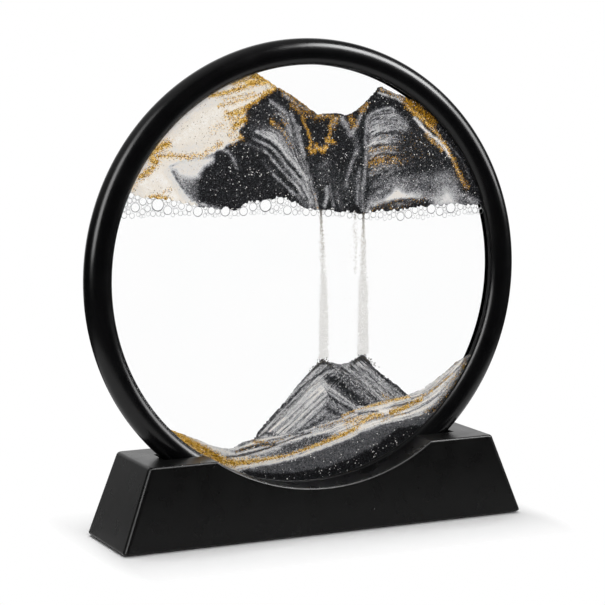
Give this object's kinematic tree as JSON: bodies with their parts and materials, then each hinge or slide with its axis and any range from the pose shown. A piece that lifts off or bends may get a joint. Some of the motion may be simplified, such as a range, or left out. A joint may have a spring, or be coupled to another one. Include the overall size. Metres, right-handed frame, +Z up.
{
  "type": "moving sand picture",
  "caption": "Round glass cell of coloured sand, liquid and trapped air in a black tubular ring that turns in, and lifts out of, the slot of a tapered black base.",
  "frame": {"origin": "middle of the footprint, on the table under the feet", "axes": "+Z up, X along the base's length, -Y towards the viewer"},
  "size_m": [0.178, 0.041, 0.1861],
  "materials": {
    "base_plastic": "satin",
    "plate_plastic": "matte",
    "screw_steel": "satin",
    "foot_rubber": "matte",
    "ring_plastic": "satin",
    "clear_glass": "polished",
    "seal_rubber": "matte",
    "clear_liquid": "polished",
    "cream_sand": "matte",
    "black_sand": "satin",
    "grey_sand": "matte",
    "gold_sand": "satin",
    "air_bubbles": "polished"
  },
  "bodies": {
    "base": {"base_shell": "base_plastic", "base_plate": "plate_plastic", "base_screw_front_left": "screw_steel", "base_screw_front_right": "screw_steel", "base_screw_rear_left": "screw_steel", "base_screw_rear_right": "screw_steel", "foot_front_left": "foot_rubber", "foot_front_right": "foot_rubber", "foot_rear_left": "foot_rubber", "foot_rear_right": "foot_rubber"},
    "liquid": {"liquid": "clear_liquid"},
    "ring": {"rim_front": "ring_plastic", "rim_rear": "ring_plastic", "front_glass": "clear_glass", "rear_glass": "clear_glass", "cell_seal": "seal_rubber", "fill_plug": "seal_rubber", "upper_sand_cream": "cream_sand", "upper_sand_dark": "black_sand", "bubble_raft": "air_bubbles", "sand_stream_left": "grey_sand", "sand_stream_middle": "grey_sand", "sand_stream_right": "grey_sand", "sand_peak_left": "grey_sand", "sand_peak_right": "grey_sand", "sand_peak_front": "grey_sand", "bank_sand_pale": "gold_sand", "bank_sand_dark": "black_sand"}
  },
  "joints": [
    {"name": "ring_lift", "type": "slide", "parent": "base", "child": "liquid", "axis": [0, 0, 1], "range_m": [0, 0.05]},
    {"name": "ring_turn", "type": "hinge", "parent": "liquid", "child": "ring", "pos_m": [0, 0, 0.09715], "axis": [0, 1, 0], "continuous": true}
  ]
}
